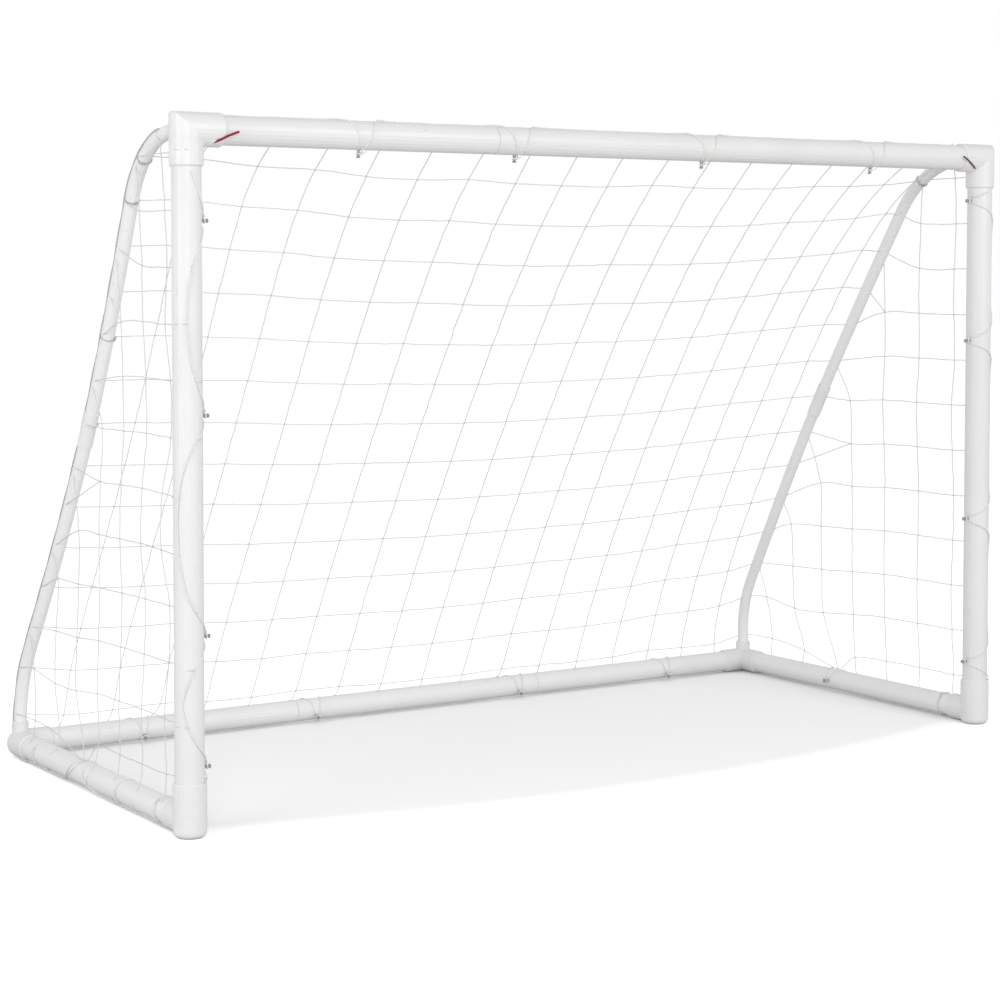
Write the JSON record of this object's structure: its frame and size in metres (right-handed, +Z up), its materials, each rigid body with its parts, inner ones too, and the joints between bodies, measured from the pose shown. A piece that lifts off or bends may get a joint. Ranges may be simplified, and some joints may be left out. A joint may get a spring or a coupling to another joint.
{
  "type": "soccer goal frame",
  "caption": "Free-standing garden soccer goal: push-fit plastic tube frame with moulded corners, bent back stays, a sloping back and a square-mesh net hooked on small pegs.",
  "frame": {"origin": "on the floor, under the middle of the frame's bounding box", "axes": "+X along the crossbar to the right as seen from the front, +Y from the mouth to the back, +Z up; the mouth faces -Y"},
  "size_m": [1.8884, 0.8206, 1.2192],
  "materials": {
    "tube": "white extruded uPVC, satin gloss",
    "fitting": "white moulded uPVC, satin",
    "stay": "light grey-white bent tube, satin",
    "joiner": "white moulded sleeve, matt",
    "peg": "light grey moulded peg, matt",
    "net": "off-white knotted twine"
  },
  "bodies": {
    "root": {"crossbar_joiner": "joiner", "crossbar_left": "tube", "crossbar_right": "tube", "front_foot_left": "fitting", "front_foot_right": "fitting", "net_back": "net", "net_left": "net", "net_peg_crossbar_1": "peg", "net_peg_crossbar_2": "peg", "net_peg_crossbar_3": "peg", "net_peg_crossbar_4": "peg", "net_peg_rear_bar_1": "peg", "net_peg_rear_bar_2": "peg", "net_peg_rear_bar_3": "peg", "net_peg_rear_bar_4": "peg", "net_peg_side_bar_left_1": "peg", "net_peg_side_bar_right_1": "peg", "net_peg_upright_left_1": "peg", "net_peg_upright_left_2": "peg", "net_peg_upright_left_3": "peg", "net_peg_upright_left_4": "peg", "net_peg_upright_right_1": "peg", "net_peg_upright_right_2": "peg", "net_peg_upright_right_3": "peg", "net_peg_upright_right_4": "peg", "net_right": "net", "rear_bar_left": "tube", "rear_bar_middle": "tube", "rear_bar_right": "tube", "rear_corner_left": "fitting", "rear_corner_right": "fitting", "rear_joiner_left": "joiner", "rear_joiner_right": "joiner", "side_bar_left": "tube", "side_bar_right": "tube", "stay_coupler_left": "fitting", "stay_coupler_right": "fitting", "stay_lower_left": "stay", "stay_lower_right": "stay", "stay_upper_left": "stay", "stay_upper_right": "stay", "top_corner_left": "fitting", "top_corner_right": "fitting", "upright_left": "tube", "upright_right": "tube"}
  },
  "joints": []
}
